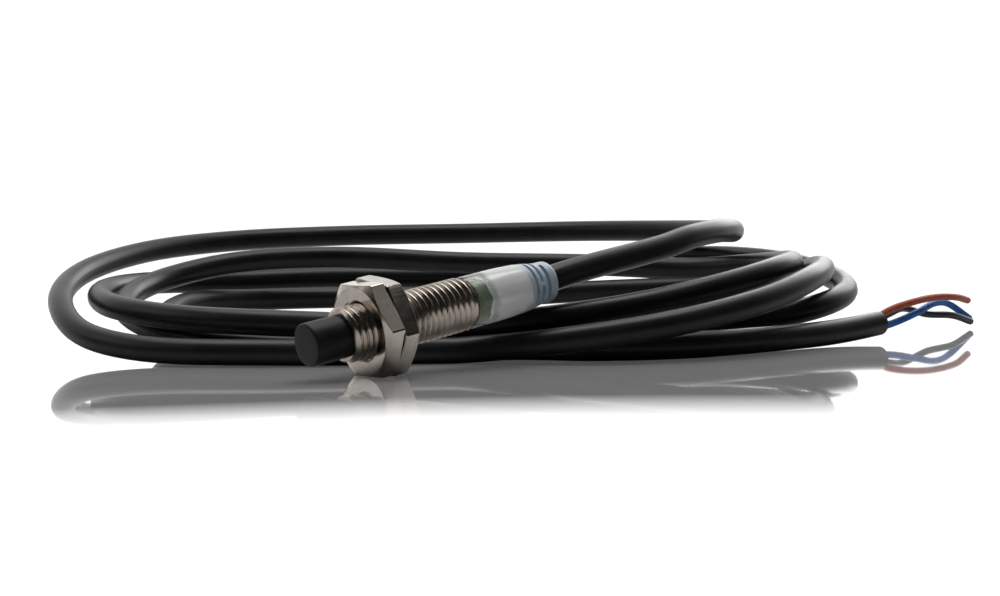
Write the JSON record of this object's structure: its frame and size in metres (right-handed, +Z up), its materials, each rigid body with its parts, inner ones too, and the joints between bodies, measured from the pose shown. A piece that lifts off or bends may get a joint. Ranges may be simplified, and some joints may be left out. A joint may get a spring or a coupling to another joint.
{
  "type": "proximity sensor",
  "caption": "Threaded cylindrical inductive proximity sensor with lock nuts, a clear rear cap and a cable in loose loops that ends in bare cores.",
  "frame": {"origin": "on the surface under the middle of the sensor's own box, cable left out", "axes": "+X along the sensor from its sensing face to its cable (the axis rises 9.2 degrees toward +X), +Z up"},
  "size_m": [0.1445, 0.1179, 0.0202],
  "materials": {
    "nickel": "nickel plated, satin, machined",
    "nut_nickel": "nickel plated, bright, machined flats",
    "black_cap": "fine matte moulded",
    "ferrite": "sintered, matte",
    "bobbin_plastic": "moulded, satin",
    "copper": "enamelled copper wire, glossy",
    "resin": "cast resin, glossy",
    "board_green": "solder mask over glass fibre, satin",
    "chip_black": "moulded epoxy, matte",
    "resistor_body": "glazed chip with tinned ends",
    "capacitor_body": "sintered chip with tinned ends",
    "led_body": "yellow lens, glossy",
    "solder": "tin, bright",
    "core_brown": "soft PVC, satin",
    "core_blue": "soft PVC, satin",
    "core_black": "soft PVC, satin",
    "filler_white": "potting compound, slightly translucent",
    "clear_shell": "clear polyamide, glossy",
    "ring_steel": "crimped, satin",
    "relief_plastic": "pale blue-grey moulded, satin",
    "jacket": "black PVC jacket, satin"
  },
  "bodies": {
    "sensor": {"barrel": "nickel", "sensing_cap": "black_cap", "ferrite_core": "ferrite", "coil_bobbin": "bobbin_plastic", "coil_winding": "copper", "coil_leads": "copper", "front_resin": "resin", "circuit_board": "board_green", "oscillator_ic": "chip_black", "output_transistor": "chip_black", "protection_diode": "chip_black", "smd_resistors": "resistor_body", "smd_capacitors": "capacitor_body", "indicator_leds": "led_body", "solder_joints": "solder", "inner_brown_core": "core_brown", "inner_blue_core": "core_blue", "inner_black_core": "core_black", "cap_filler": "filler_white", "end_cap": "clear_shell", "crimp_ring": "ring_steel", "strain_relief": "relief_plastic", "cable_lead": "jacket", "cable_coil": "jacket", "cable_tail": "jacket", "brown_core": "core_brown", "blue_core": "core_blue", "black_core": "core_black"},
    "front_nut": {"front_nut": "nut_nickel"},
    "rear_nut": {"rear_nut": "nut_nickel"}
  },
  "joints": [
    {"name": "front_nut_travel", "type": "slide", "parent": "sensor", "child": "front_nut", "axis": [-0.9871, 0, -0.1599], "range_m": [0, 0.005]},
    {"name": "rear_nut_travel", "type": "slide", "parent": "sensor", "child": "rear_nut", "axis": [0.9871, 0, 0.1599], "range_m": [0, 0.012]}
  ]
}
